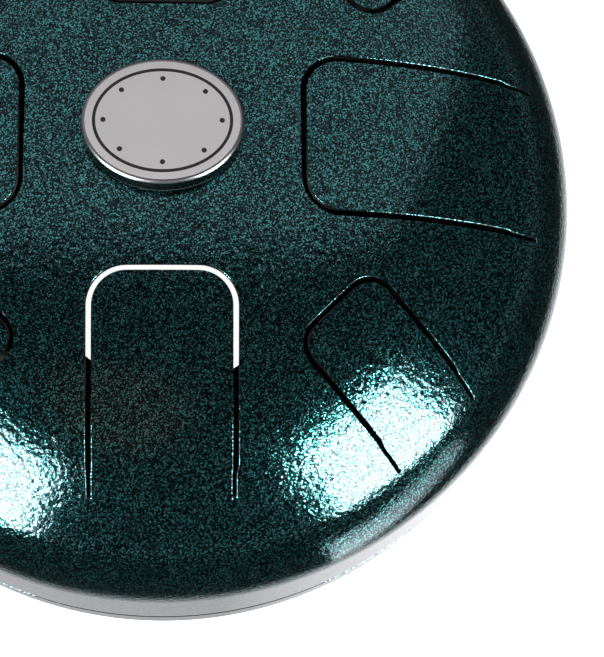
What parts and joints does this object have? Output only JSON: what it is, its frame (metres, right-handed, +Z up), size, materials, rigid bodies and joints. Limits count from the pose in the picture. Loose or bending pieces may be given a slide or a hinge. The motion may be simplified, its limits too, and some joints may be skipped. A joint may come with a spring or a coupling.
{
  "type": "steel tongue drum",
  "caption": "Round steel tongue drum: two domed shells welded at a seam, slit tongues in the top, an oval badge on the crown, a sound port below and rubber feet.",
  "frame": {"origin": "centre of the footprint, on the surface that the drum stands on", "axes": "+Z up along the drum's axis, -Y towards the player, +X to the player's right"},
  "size_m": [0.3048, 0.3048, 0.1801],
  "materials": {
    "paint": "gloss",
    "badge_metal": "satin",
    "badge_line": "gloss",
    "adhesive_foam": "matte",
    "rubber": "matte",
    "zinc_plate": "satin"
  },
  "bodies": {
    "drum": {"top_shell": "paint", "bottom_shell": "paint", "weld_seam": "paint", "badge_plate": "badge_metal", "badge_inlay": "badge_line", "badge_pad": "adhesive_foam", "foot_front_right": "rubber", "foot_back_right": "rubber", "foot_back_left": "rubber", "foot_front_left": "rubber", "foot_washers": "zinc_plate", "foot_screws": "zinc_plate", "shell_washers": "zinc_plate", "foot_nuts": "zinc_plate"},
    "tongue_front": {"tongue_front": "paint"},
    "tongue_front_right": {"tongue_front_right": "paint"},
    "tongue_right": {"tongue_right": "paint"},
    "tongue_back_right": {"tongue_back_right": "paint"},
    "tongue_back": {"tongue_back": "paint"},
    "tongue_back_left": {"tongue_back_left": "paint"},
    "tongue_left": {"tongue_left": "paint"},
    "tongue_front_left": {"tongue_front_left": "paint"}
  },
  "joints": [
    {"name": "tongue_front_flex", "type": "hinge", "parent": "drum", "child": "tongue_front", "pos_m": [0, -0.123, 0.14558], "axis": [-1, 0, 0], "range_deg": [-0.4, 0.4], "stiffness_Nm_per_rad": 20, "springref_deg": -0.07},
    {"name": "tongue_front_right_flex", "type": "hinge", "parent": "drum", "child": "tongue_front_right", "pos_m": [0.09576, -0.09881, 0.1335], "axis": [-0.7181, -0.6959, 0], "range_deg": [-0.4, 0.4], "stiffness_Nm_per_rad": 8, "springref_deg": -0.08},
    {"name": "tongue_right_flex", "type": "hinge", "parent": "drum", "child": "tongue_right", "pos_m": [0.1335, 0, 0.13778], "axis": [0, -1, 0], "range_deg": [-0.4, 0.4], "stiffness_Nm_per_rad": 20, "springref_deg": -0.11},
    {"name": "tongue_back_right_flex", "type": "hinge", "parent": "drum", "child": "tongue_back_right", "pos_m": [0.09522, 0.09228, 0.13861], "axis": [0.6959, -0.7181, 0], "range_deg": [-0.4, 0.4], "stiffness_Nm_per_rad": 8, "springref_deg": -0.06},
    {"name": "tongue_back_flex", "type": "hinge", "parent": "drum", "child": "tongue_back", "pos_m": [0, 0.1278, 0.14246], "axis": [1, 0, 0], "range_deg": [-0.4, 0.4], "stiffness_Nm_per_rad": 20, "springref_deg": -0.09},
    {"name": "tongue_back_left_flex", "type": "hinge", "parent": "drum", "child": "tongue_back_left", "pos_m": [-0.09402, 0.09702, 0.13622], "axis": [0.7181, 0.6959, 0], "range_deg": [-0.4, 0.4], "stiffness_Nm_per_rad": 8, "springref_deg": -0.07},
    {"name": "tongue_left_flex", "type": "hinge", "parent": "drum", "child": "tongue_left", "pos_m": [-0.136, 0, 0.13528], "axis": [0, 1, 0], "range_deg": [-0.4, 0.4], "stiffness_Nm_per_rad": 20, "springref_deg": -0.12},
    {"name": "tongue_front_left_flex", "type": "hinge", "parent": "drum", "child": "tongue_front_left", "pos_m": [-0.09601, -0.09304, 0.13759], "axis": [-0.6959, 0.7181, 0], "range_deg": [-0.4, 0.4], "stiffness_Nm_per_rad": 8, "springref_deg": -0.06}
  ]
}
